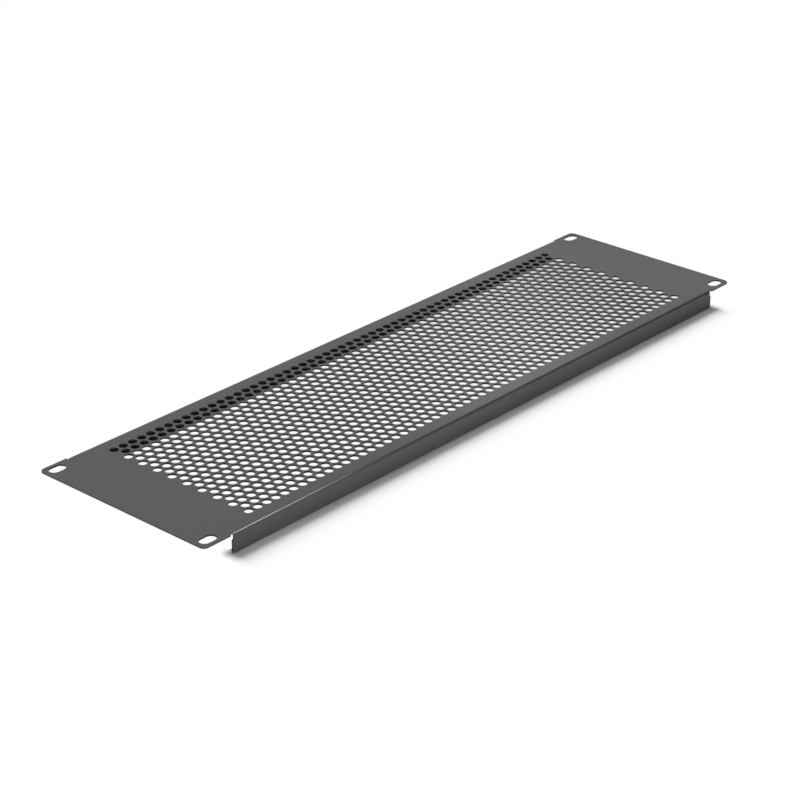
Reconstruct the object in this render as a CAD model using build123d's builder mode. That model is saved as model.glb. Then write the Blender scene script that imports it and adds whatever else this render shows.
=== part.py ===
# Vented rack blanking panel, 19 inch wide and 3 rack units high, folded from one
# steel sheet: a flat face with a staggered field of ventilation holes, a flange
# turned back along each long edge, and two flat ears with slots for the screws.
# Frame: +X along the panel's width, +Y towards the panel's top edge, +Z out of
# the front face. The panel lies face up on the free edges of its flanges, and
# the origin is the centre of its footprint in that plane. Sizes are in mm.
import os

from build123d import *

# Sheet and bends
sheet = 1.0
inner_bend_radius = 0.5

# Front plate
panel_width = 482.0
panel_height = 132.5
ear_length = 21.0  # from the panel's end to the flange's end
ear_corner_radius = 3.5

# Flanges
flange_depth = 12.0  # from the front face to the free edge
flange_corner_radius = 1.0

# Mounting slots, long across the width, one near each corner of the panel
slot_length = 11.0
slot_width = 6.8
slot_inset_x = 8.45  # from the panel's end to the slot's centre
slot_inset_y = 5.925  # from the panel's long edge to the slot's centre

# Bend reliefs: a notch across each end of each bend
relief_gap = 1.2  # from the flange's end out to the ear
relief_setback = 1.0  # how far the relief bites into the flange's end
relief_face_reach = 0.1  # past the bend, into the flat face
relief_flange_reach = 2.3  # past the bend, down the flange
relief_corner_radius = 0.5

# Ventilation holes
hole_diameter = 5.5
hole_bridge = 1.5  # metal between two holes of a row
row_bridge = 0.5  # metal between one row's holes and the next row's
field_margin_x = 45.0  # from the panel's end to the first hole's centre
field_margin_y = 12.25  # from the panel's long edge to the first row's centre line

# Sizes that follow
front = flange_depth
outer_bend_radius = inner_bend_radius + sheet
half_height = panel_height / 2
flange_width = panel_width - 2 * ear_length
slot_span_x = panel_width - 2 * slot_inset_x
slot_span_y = panel_height - 2 * slot_inset_y
relief_width = relief_setback + relief_gap
relief_depth = outer_bend_radius + relief_face_reach
relief_drop = outer_bend_radius + relief_flange_reach
relief_centre_x = flange_width / 2 + (relief_gap - relief_setback) / 2

# The field is staggered: between two rows lies one with a hole less, half a
# pitch over. It has as many holes and rows as fit between the margins.
hole_pitch = hole_diameter + hole_bridge
row_pitch = hole_diameter + row_bridge
long_row_holes = 1 + int((panel_width - 2 * field_margin_x) / hole_pitch + 1e-6)
long_rows = 1 + int((panel_height - 2 * field_margin_y) / (2 * row_pitch) + 1e-6)

with BuildPart() as panel:
    # The folded section: a flat face with both long edges turned back
    with BuildSketch(Plane.YZ):
        with BuildLine():
            outside = FilletPolyline(
                (-half_height, 0),
                (-half_height, front),
                (half_height, front),
                (half_height, 0),
                radius=outer_bend_radius,
            )
            inside = FilletPolyline(
                (half_height - sheet, 0),
                (half_height - sheet, front - sheet),
                (-half_height + sheet, front - sheet),
                (-half_height + sheet, 0),
                radius=inner_bend_radius,
            )
            Line(outside @ 1, inside @ 0)
            Line(inside @ 1, outside @ 0)
        make_face()
    extrude(amount=flange_width / 2, both=True)

    # The ears: past the flanges the face runs on flat, with rounded corners
    with BuildSketch(Plane.XY.offset(front)):
        RectangleRounded(panel_width, panel_height, ear_corner_radius)
        Rectangle(flange_width, panel_height, mode=Mode.SUBTRACT)
    extrude(amount=-sheet)

    # The reliefs, cut into the face's edge and then into the flange's end, so
    # that the fold doesn't tear the ear. Each cut starts well off the metal.
    with BuildSketch(Plane.XY.offset(front)):
        with GridLocations(2 * relief_centre_x, panel_height + 2 * relief_width, 2, 2):
            face_cut = 2 * (relief_depth + relief_width)
            RectangleRounded(relief_width, face_cut, relief_corner_radius)
    extrude(amount=-outer_bend_radius, mode=Mode.SUBTRACT)
    for flange_face in (Plane.front, Plane.back):
        with BuildSketch(flange_face.offset(half_height)):
            with Locations((0, front + relief_width)):
                with GridLocations(2 * relief_centre_x, 0, 2, 1):
                    flange_cut = 2 * (relief_drop + relief_width)
                    RectangleRounded(relief_width, flange_cut, relief_corner_radius)
        extrude(amount=-outer_bend_radius, mode=Mode.SUBTRACT)

    # Free corners of the flanges, rounded through the sheet
    free_corners = panel.edges().filter_by(Axis.Y).group_by(Axis.Z)[0]
    fillet(free_corners, radius=flange_corner_radius)

    # The mounting slots, punched through the ears
    with BuildSketch(Plane.XY.offset(front)):
        with GridLocations(slot_span_x, slot_span_y, 2, 2):
            SlotOverall(slot_length, slot_width)
    extrude(amount=-sheet, mode=Mode.SUBTRACT)

    # The ventilation holes, punched through the face: the long rows, then the
    # rows between them
    with Locations((0, 0, front)):
        with GridLocations(hole_pitch, 2 * row_pitch, long_row_holes, long_rows):
            Hole(hole_diameter / 2, depth=2 * sheet)
        with GridLocations(hole_pitch, 2 * row_pitch, long_row_holes - 1, long_rows - 1):
            Hole(hole_diameter / 2, depth=2 * sheet)

panel.part.label = "panel"

os.makedirs("parts", exist_ok=True)
export_step(panel.part, "parts/panel.step")
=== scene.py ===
import math

import bpy
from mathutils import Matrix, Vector


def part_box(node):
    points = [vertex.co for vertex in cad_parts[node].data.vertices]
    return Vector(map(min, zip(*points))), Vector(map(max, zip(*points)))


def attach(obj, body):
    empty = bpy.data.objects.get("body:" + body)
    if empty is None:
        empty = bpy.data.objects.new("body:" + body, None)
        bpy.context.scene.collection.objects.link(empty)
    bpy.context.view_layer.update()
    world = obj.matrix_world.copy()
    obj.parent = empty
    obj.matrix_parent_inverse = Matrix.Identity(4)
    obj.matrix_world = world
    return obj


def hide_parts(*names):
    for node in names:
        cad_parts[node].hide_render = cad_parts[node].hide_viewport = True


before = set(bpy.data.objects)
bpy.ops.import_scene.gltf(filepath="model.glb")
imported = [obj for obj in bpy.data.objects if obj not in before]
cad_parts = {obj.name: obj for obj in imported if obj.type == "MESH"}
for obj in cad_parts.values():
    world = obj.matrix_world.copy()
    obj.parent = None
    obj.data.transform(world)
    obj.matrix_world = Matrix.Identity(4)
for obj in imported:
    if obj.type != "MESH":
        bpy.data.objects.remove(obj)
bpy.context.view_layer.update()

# The panel: one steel sheet. It is cut to its blank in the flat, punched with the
# ventilation holes and the four mounting slots, then folded along both long edges.
# Sizes are in metres. The blank lies in the plane of the front face.
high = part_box("panel")[1]
half_width = high.x
half_height = high.y
front = high.z
sheet = 0.001
bend_inside = 0.0005
bend_outside = bend_inside + sheet
flange_end = 0.2200
flange_corner = 0.001
ear_corner = 0.0035
relief_inner = 0.2190
relief_outer = 0.2212
relief_drop = 0.0038  # below the front face
relief_reach = 0.0001  # past the bend, into the flat face
relief_corner = 0.0005

# The blank's length is that of the sheet's neutral fibre, so the bends use up
# less of it than their outside measures.
neutral_fibre = 0.42
bend_steps = 10
fold_line = half_height - bend_outside
bend_allowance = math.pi / 2 * (bend_inside + neutral_fibre * sheet)
flange_edge = fold_line + bend_allowance + (front - bend_outside)


def arc(centre, radius, start, stop, steps):
    angles = [math.radians(start + (stop - start) * i / steps) for i in range(steps + 1)]
    return [(centre[0] + radius * math.cos(a), centre[1] + radius * math.sin(a)) for a in angles]


# Outline of the flat part, one quarter and its mirror images: it starts where the
# fold line meets the relief notch and runs along the notch to the ear's corner.
notch_bottom = fold_line - relief_reach
notch_round = notch_bottom + relief_corner
start_angle = 180 + math.degrees(math.asin((notch_round - fold_line) / relief_corner))
quarter = arc((relief_inner + relief_corner, notch_round), relief_corner, start_angle, 270, 4)
quarter += arc((relief_outer - relief_corner, notch_round), relief_corner, 270, 360, 6)
quarter.append((relief_outer, half_height))
quarter += arc((half_width - ear_corner, half_height - ear_corner), ear_corner, 90, 0, 10)
right_side = quarter + [(x, -y) for x, y in reversed(quarter)]
outline = right_side + [(-x, y) for x, y in reversed(right_side)]

# Rows of the bend and flange, from the fold line out to the free edge: each is
# the blank's distance from the centre line and the half width there.
rows = []
for i in range(bend_steps + 1):
    folded_y = fold_line + bend_outside * math.sin(math.pi / 2 / bend_steps * i)
    into_round = max(0.0, notch_round - folded_y)
    rows.append((fold_line + bend_allowance * i / bend_steps,
                 relief_inner + relief_corner - math.sqrt(relief_corner**2 - into_round**2)))
relief_end = fold_line + bend_allowance + relief_drop - bend_outside
foot = arc((relief_inner + relief_corner, relief_end - relief_corner), relief_corner, 180, 90, 6)
rows += [(y, x) for x, y in foot]
foot_step = 0.00005  # keeps the relief's square foot from falling into one row
rows.append((relief_end + foot_step, flange_end))
corner = arc((flange_end - flange_corner, flange_edge - flange_corner), flange_corner, 0, 90, 6)
rows += [(y, x) for x, y in corner]

blank = bpy.data.meshes.new("blank")
verts = [(x, y, 0) for x, y in outline]
edges = [(i, (i + 1) % len(outline)) for i in range(len(outline))]
faces = []
for side in (1, -1):
    start = len(verts)
    for y, x in rows:
        verts += [(-x, side * y, 0), (x, side * y, 0)]
    for i in range(start, len(verts) - 2, 2):
        strip = (i, i + 1, i + 3, i + 2)
        faces.append(strip if side > 0 else strip[::-1])
blank.from_pydata(verts, edges, faces)
panel = bpy.data.objects.new("vented_panel", blank)
bpy.context.collection.objects.link(panel)


# Press work, as Geometry Nodes: the outline with its holes and slots is filled,
# given the sheet's thickness, and folded about the two fold lines.
def add(tree, kind, inputs, **settings):
    node = tree.nodes.new(kind)
    for name, value in settings.items():
        setattr(node, name, value)
    for name, value in inputs.items():
        if isinstance(value, bpy.types.NodeSocket):
            tree.links.new(value, node.inputs[name])
        else:
            node.inputs[name].default_value = value
    return node


def calc(tree, operation, *values):
    return add(tree, "ShaderNodeMath", dict(enumerate(values)), operation=operation).outputs[0]


def join(tree, *parts):
    node = tree.nodes.new("GeometryNodeJoinGeometry")
    for part in reversed(parts):
        tree.links.new(part, node.inputs[0])
    return node.outputs[0]


press = bpy.data.node_groups.new("Press work", "GeometryNodeTree")
press.interface.new_socket("Blank", in_out="INPUT", socket_type="NodeSocketGeometry")
press_sizes = {
    "Front": front,
    "Sheet": sheet,
    "Hole Diameter": 0.0055,
    "Hole Pitch": 0.007,
    "Row Pitch": 0.006,
    "Holes in Long Row": 57,
    "Long Rows": 10,
    "Slot Length": 0.011,
    "Slot Width": 0.0068,
    "Slot Span X": 0.4651,
    "Slot Span Y": 0.12065,
    "Fold Line": fold_line,
    "Bend Outside": bend_outside,
    "Bend Allowance": bend_allowance,
    "Relief Centre": (relief_inner + relief_outer) / 2,
}
for name, value in press_sizes.items():
    kind = "NodeSocketInt" if isinstance(value, int) else "NodeSocketFloat"
    press.interface.new_socket(name, in_out="INPUT", socket_type=kind)
press.interface.new_socket("Finish", in_out="INPUT", socket_type="NodeSocketMaterial")
press.interface.new_socket("Panel", in_out="OUTPUT", socket_type="NodeSocketGeometry")
given = press.nodes.new("NodeGroupInput").outputs

# Punching: round holes in long rows, and rows one hole shorter between them
hole_sides = 20
slot_corner_steps = 8
weld = 1e-6
short_row = calc(press, "SUBTRACT", given["Holes in Long Row"], 1)
short_rows = calc(press, "SUBTRACT", given["Long Rows"], 1)
double_row = calc(press, "MULTIPLY", given["Row Pitch"], 2)
centres = []
for count, lines in ((given["Holes in Long Row"], given["Long Rows"]), (short_row, short_rows)):
    row_length = calc(press, "MULTIPLY", given["Hole Pitch"], calc(press, "SUBTRACT", count, 1))
    field_height = calc(press, "MULTIPLY", double_row, calc(press, "SUBTRACT", lines, 1))
    grid = add(press, "GeometryNodeMeshGrid",
               {"Size X": row_length, "Size Y": field_height,
                "Vertices X": count, "Vertices Y": lines})
    centres.append(grid.outputs["Mesh"])
punch = add(press, "GeometryNodeCurvePrimitiveCircle",
            {"Resolution": hole_sides, "Radius": calc(press, "DIVIDE", given["Hole Diameter"], 2)})
holes = add(press, "GeometryNodeInstanceOnPoints",
            {"Points": join(press, *centres), "Instance": punch.outputs["Curve"]})
slot_box = add(press, "GeometryNodeCurvePrimitiveQuadrilateral",
               {"Width": given["Slot Length"], "Height": given["Slot Width"]})
slot_shape = add(press, "GeometryNodeFilletCurve",
                 {"Curve": slot_box.outputs["Curve"], "Count": slot_corner_steps,
                  "Limit Radius": True, "Radius": calc(press, "DIVIDE", given["Slot Width"], 2)},
                 mode="POLY")
slot_centres = add(press, "GeometryNodeMeshGrid",
                   {"Size X": given["Slot Span X"], "Size Y": given["Slot Span Y"],
                    "Vertices X": 2, "Vertices Y": 2})
slots = add(press, "GeometryNodeInstanceOnPoints",
            {"Points": slot_centres.outputs["Mesh"], "Instance": slot_shape.outputs["Curve"]})
punched = add(press, "GeometryNodeRealizeInstances",
              {"Geometry": join(press, holes.outputs[0], slots.outputs[0])})
edge_faces = add(press, "GeometryNodeInputMeshEdgeNeighbors", {}).outputs["Face Count"]
split = add(press, "GeometryNodeSeparateGeometry",
            {"Geometry": given["Blank"], "Selection": calc(press, "LESS_THAN", edge_faces, 0.5)},
            domain="EDGE")
edge_curve = add(press, "GeometryNodeMeshToCurve", {"Mesh": split.outputs["Selection"]})
face = add(press, "GeometryNodeFillCurve",
           {"Curve": join(press, edge_curve.outputs[0], punched.outputs[0])}, mode="TRIANGLES")
flat = add(press, "GeometryNodeMergeByDistance",
           {"Geometry": join(press, face.outputs[0], split.outputs["Inverted"]), "Distance": weld})

# Thickness: the blank is drawn at the rear face and raised by the sheet
rear_height = calc(press, "SUBTRACT", given["Front"], given["Sheet"])
to_rear = add(press, "ShaderNodeCombineXYZ", {"Z": rear_height})
rear = add(press, "GeometryNodeTransform",
           {"Geometry": flat.outputs[0], "Translation": to_rear.outputs[0]})
lift = add(press, "ShaderNodeCombineXYZ", {"Z": given["Sheet"]})
raised = add(press, "GeometryNodeExtrudeMesh",
             {"Mesh": rear.outputs[0], "Offset": lift.outputs[0], "Offset Scale": 1.0,
              "Individual": False}, mode="FACES")
back_face = add(press, "GeometryNodeFlipFaces", {"Mesh": rear.outputs[0]})
solid = add(press, "GeometryNodeMergeByDistance",
            {"Geometry": join(press, raised.outputs["Mesh"], back_face.outputs[0]),
             "Distance": weld})

# Folding: past the fold line a point turns about the bend's axis, and past the
# bend it runs straight down. The ears, outside the reliefs, stay flat.
position = add(press, "GeometryNodeInputPosition", {}).outputs[0]
place = add(press, "ShaderNodeSeparateXYZ", {"Vector": position})
out = calc(press, "ABSOLUTE", place.outputs["Y"])
past = calc(press, "SUBTRACT", out, given["Fold Line"])
angle = add(press, "ShaderNodeMapRange",
            {"Value": past, "From Min": 0.0, "From Max": given["Bend Allowance"],
             "To Min": 0.0, "To Max": math.pi / 2})
axis_height = calc(press, "SUBTRACT", given["Front"], given["Bend Outside"])
radius = calc(press, "SUBTRACT", place.outputs["Z"], axis_height)
straight = calc(press, "MAXIMUM", calc(press, "SUBTRACT", past, given["Bend Allowance"]), 0.0)
reach = calc(press, "MULTIPLY_ADD", radius, calc(press, "SINE", angle.outputs[0]),
             calc(press, "MINIMUM", out, given["Fold Line"]))
drop = calc(press, "MULTIPLY_ADD", radius, calc(press, "COSINE", angle.outputs[0]), axis_height)
folded_place = add(press, "ShaderNodeCombineXYZ",
                   {"X": place.outputs["X"],
                    "Y": calc(press, "MULTIPLY", reach, calc(press, "SIGN", place.outputs["Y"])),
                    "Z": calc(press, "SUBTRACT", drop, straight)})
inside_reliefs = calc(press, "LESS_THAN", calc(press, "ABSOLUTE", place.outputs["X"]),
                      given["Relief Centre"])
folded = add(press, "GeometryNodeSetPosition",
             {"Geometry": solid.outputs[0], "Selection": inside_reliefs,
              "Position": folded_place.outputs[0]})
smooth = add(press, "GeometryNodeSetShadeSmooth",
             {"Geometry": folded.outputs[0], "Shade Smooth": True})
finished = add(press, "GeometryNodeSetMaterial",
               {"Geometry": smooth.outputs[0], "Material": given["Finish"]})
result = press.nodes.new("NodeGroupOutput")
press.links.new(finished.outputs[0], result.inputs["Panel"])

# Powder coat: dark grey, matt, with the fine grain of a textured powder and a
# slight waviness where the coat flowed before it set.
coat = bpy.data.materials.new("powder_coat")
coat.use_nodes = True
paint = coat.node_tree
surface = add(paint, "ShaderNodeTexCoord", {}).outputs["Object"]
grain = add(paint, "ShaderNodeTexNoise",
            {"Vector": surface, "Scale": 1700.0, "Detail": 3.0, "Roughness": 0.6}).outputs[0]
flow = add(paint, "ShaderNodeTexNoise",
           {"Vector": surface, "Scale": 260.0, "Detail": 1.0}).outputs[0]
cloud = add(paint, "ShaderNodeTexNoise",
            {"Vector": surface, "Scale": 28.0, "Detail": 3.0}).outputs[0]


def vary(mean, by_grain, by_cloud):
    clouded = calc(paint, "MULTIPLY_ADD", calc(paint, "SUBTRACT", cloud, 0.5), by_cloud, mean)
    return calc(paint, "MULTIPLY_ADD", calc(paint, "SUBTRACT", grain, 0.5), by_grain, clouded)


blueness = 1.02
tone = vary(0.046, by_grain=0.022, by_cloud=0.008)
roughness = vary(0.42, by_grain=0.22, by_cloud=0.10)
blue = calc(paint, "MULTIPLY", tone, blueness)
colour = add(paint, "ShaderNodeCombineColor", {"Red": tone, "Green": tone, "Blue": blue})
wave = add(paint, "ShaderNodeBump", {"Height": flow, "Strength": 0.12, "Distance": 0.0004})
tooth = add(paint, "ShaderNodeBump",
            {"Height": grain, "Strength": 0.35, "Distance": 0.0001, "Normal": wave.outputs[0]})
shader = paint.nodes["Principled BSDF"]
shader.inputs["Specular IOR Level"].default_value = 0.4
paint.links.new(colour.outputs[0], shader.inputs["Base Color"])
paint.links.new(roughness, shader.inputs["Roughness"])
paint.links.new(tooth.outputs[0], shader.inputs["Normal"])

pressing = panel.modifiers.new("Press work", "NODES")
pressing.node_group = press
for item in press.interface.items_tree:
    if item.in_out == "INPUT" and item.name in press_sizes:
        pressing[item.identifier] = press_sizes[item.name]
    elif item.name == "Finish":
        pressing[item.identifier] = coat


def settle(piece):
    evaluated = piece.evaluated_get(bpy.context.evaluated_depsgraph_get())
    plain_mesh = bpy.data.meshes.new_from_object(evaluated)
    piece.modifiers.clear()
    piece.data = plain_mesh


settle(panel)

# The coat rounds every cut edge a little, and there it catches the light.
rims = panel.modifiers.new("Coated edges", "BEVEL")
rims.width = 0.00012
rims.segments = 1
rims.limit_method = "ANGLE"
rims.angle_limit = math.radians(50)
rims.harden_normals = True
settle(panel)
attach(panel, "root")
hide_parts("panel")

# The floor: a white table, matt to every ray but the camera's. The camera sees it plain white far
# away, and under the panel as a painted glow in place of the panel's shadow, dimmed by painted
# shade towards the far end; the band round the flanges keeps the real light and shadow.
floor_half = 6
ground = bpy.data.meshes.new("floor")
ground.from_pydata([(-floor_half, -floor_half, 0), (floor_half, -floor_half, 0),
                    (floor_half, floor_half, 0), (-floor_half, floor_half, 0)],
                   [], [(0, 1, 2, 3)])
floor = bpy.data.objects.new("floor", ground)
bpy.context.collection.objects.link(floor)
white = bpy.data.materials.new("white_table")
white.use_nodes = True
table = white.node_tree
table.nodes.clear()


def ramp(tree, value, zero_at, one_at):
    limits = {"Value": value, "From Min": zero_at, "From Max": one_at}
    return add(tree, "ShaderNodeMapRange", limits).outputs[0]


table_place = add(table, "ShaderNodeTexCoord", {}).outputs["Object"]
spot = add(table, "ShaderNodeSeparateXYZ", {"Vector": table_place})
across = calc(table, "ABSOLUTE", spot.outputs["X"])
along = calc(table, "ABSOLUTE", spot.outputs["Y"])

# Where the real floor shows: in front of and behind the flanges, and out to a
# short way past their ends. Between the flanges the camera sees a painted glow again,
# in place of the panel's shadow. Each pair of sizes is where a soft edge is 0 and where
# it is 1, from the panel's centre lines.
flange_line = 0.0655
flange_stop = 0.2195
shadow_past_stop = 0.0068
band_edge = (0.090, 0.071)
under_edge = (0.0622, 0.0610)
under_end_edge = (0.2205, 0.2190)
corner_edge = (0.2175, 0.2188)
under = ramp(table, along, *under_edge)
past_stop = calc(table, "MAXIMUM", calc(table, "SUBTRACT", across, flange_stop), 0.0)
inside_line = calc(table, "MAXIMUM", calc(table, "SUBTRACT", flange_line, along), 0.0)
round_corner = calc(table, "MULTIPLY", inside_line, ramp(table, across, *corner_edge))
from_flange = calc(table, "SQRT", calc(table, "MULTIPLY_ADD", past_stop, past_stop,
                                       calc(table, "MULTIPLY", round_corner, round_corner)))
beside = calc(table, "MULTIPLY", ramp(table, from_flange, shadow_past_stop, 0.0),
              ramp(table, along, *band_edge))
# Share of emission seen by the camera: plain white backdrop far off, painted glow under the panel
backdrop_and_painted_glow = calc(table, "MAXIMUM", calc(table, "SUBTRACT", 1.0, beside),
             calc(table, "MULTIPLY", under, ramp(table, across, *under_end_edge)))

# Painted shade in the glow under the panel: darker towards the far end, and more at the back
fade_start = 0.015
fade_at_far_end = 0.32
fade_towards_back = 4.0
fade_curve = 2.0
fade_end_edge = (0.224, 0.216)
far = calc(table, "POWER", ramp(table, spot.outputs["X"], -flange_end, flange_end), fade_curve)
painted_dimming = calc(table, "MULTIPLY", calc(table, "MULTIPLY_ADD", far, fade_at_far_end, fade_start),
              calc(table, "MULTIPLY_ADD", spot.outputs["Y"], fade_towards_back, 1.0))
painted_shade = calc(table, "MULTIPLY", painted_dimming, ramp(table, across, *fade_end_edge))
# Glow strength with the painted shade taken off
level = calc(table, "SUBTRACT", 1.0, calc(table, "MULTIPLY", painted_shade, under))
view_ray = add(table, "ShaderNodeLightPath", {}).outputs["Is Camera Ray"]
matt = add(table, "ShaderNodeBsdfDiffuse", {"Color": (0.9, 0.9, 0.9, 1)})
# The emission is a painted glow, where the panel's real shadow would fall
painted_glow = add(table, "ShaderNodeEmission", {"Color": (1, 1, 1, 1), "Strength": level})
mixed = add(table, "ShaderNodeMixShader",
            {0: calc(table, "MULTIPLY", backdrop_and_painted_glow, view_ray), 1: matt.outputs[0], 2: painted_glow.outputs[0]})
add(table, "ShaderNodeOutputMaterial", {"Surface": mixed.outputs[0]})
ground.materials.append(white)

# The studio: a weak even surround that reflections see as a pale room, dark on
# the side that the front bend mirrors to the camera. A large softbox high behind
# the panel is the key, with a weaker one above and a low strip in front.
even_light = 0.05
pale_walls = 0.76
dark_wall = 0.03
dark_side = (0.76, -0.42, 0.50)
dark_edge = (0.82, 0.55)
studio = bpy.data.worlds.new("studio")
bpy.context.scene.world = studio
studio.use_nodes = True
room = studio.node_tree
rays = add(room, "ShaderNodeLightPath", {})
outwards = add(room, "ShaderNodeTexCoord", {}).outputs["Generated"]
towards = add(room, "ShaderNodeVectorMath", {0: outwards, 1: dark_side}, operation="DOT_PRODUCT")
walls = calc(room, "MULTIPLY_ADD", ramp(room, towards.outputs["Value"], *dark_edge),
             pale_walls, dark_wall)
reflected = calc(room, "MULTIPLY", rays.outputs["Is Glossy Ray"], walls)
seen = calc(room, "MAXIMUM", rays.outputs["Is Camera Ray"], reflected)
backdrop = room.nodes["Background"]
backdrop.inputs["Color"].default_value = (1, 1, 1, 1)
room.links.new(calc(room, "MAXIMUM", seen, even_light), backdrop.inputs["Strength"])


def hang(lamp, place, aim, diffuse):
    holder = bpy.data.objects.new(lamp.name, lamp)
    bpy.context.collection.objects.link(holder)
    holder.location = place
    holder.rotation_euler = (Vector(aim) - Vector(place)).to_track_quat("-Z", "Y").to_euler()
    holder.visible_camera = False
    holder.visible_diffuse = diffuse
    holder.visible_glossy = not diffuse


def softbox(name, place, size, power, aim, diffuse=True):
    lamp = bpy.data.lights.new(name, "AREA")
    lamp.shape = "RECTANGLE"
    lamp.size, lamp.size_y = size
    lamp.energy = power
    hang(lamp, place, aim, diffuse)


softbox("back_softbox", (0.1, 0.86, 1.02), (1.6, 0.8), 25.5, (0, 0, 0))
softbox("top_softbox", (0.0, 0.1, 1.4), (1.6, 0.6), 4.0, (0, 0, 0))
softbox("front_strip", (-0.15, -0.62, 0.025), (0.5, 0.04), 3.0, (-0.15, 0, 0.01))

# Three lights for reflections only: one lifts the middle of the face, one its far
# end, and a narrow spot draws the bright line on the near end of the front bend.
softbox("face_light", (0.275, 0.135, 0.164), (0.1, 0.08), 0.063, (0.04, -0.075, 0.01),
        diffuse=False)
softbox("end_light", (0.455, 0.105, 0.164), (0.08, 0.05), 0.018, (0.22, -0.10, 0.01),
        diffuse=False)
spot_lamp = bpy.data.lights.new("bend_light", "SPOT")
spot_lamp.energy = 118.0
spot_lamp.spot_size = math.radians(8)
spot_lamp.spot_blend = 1.0
spot_lamp.shadow_soft_size = 0.03
hang(spot_lamp, (0.74, -0.353, 1.007), (-0.24, -0.066, 0.012), diffuse=False)

# The camera stands at the photo's angle, level, with a long lens and no shift, so
# that the panel stays in the frame from other sides too.
camera = bpy.data.objects.new("camera", bpy.data.cameras.new("camera"))
bpy.context.collection.objects.link(camera)
camera.data.sensor_width = 36
camera.data.lens = 102.75
camera.location = (-0.94847, -0.83566, 0.60096)
camera.rotation_euler = Vector((0.67146, 0.59985, -0.43511)).to_track_quat("-Z", "Y").to_euler()
bpy.context.scene.camera = camera
bpy.context.scene.view_settings.view_transform = "Standard"
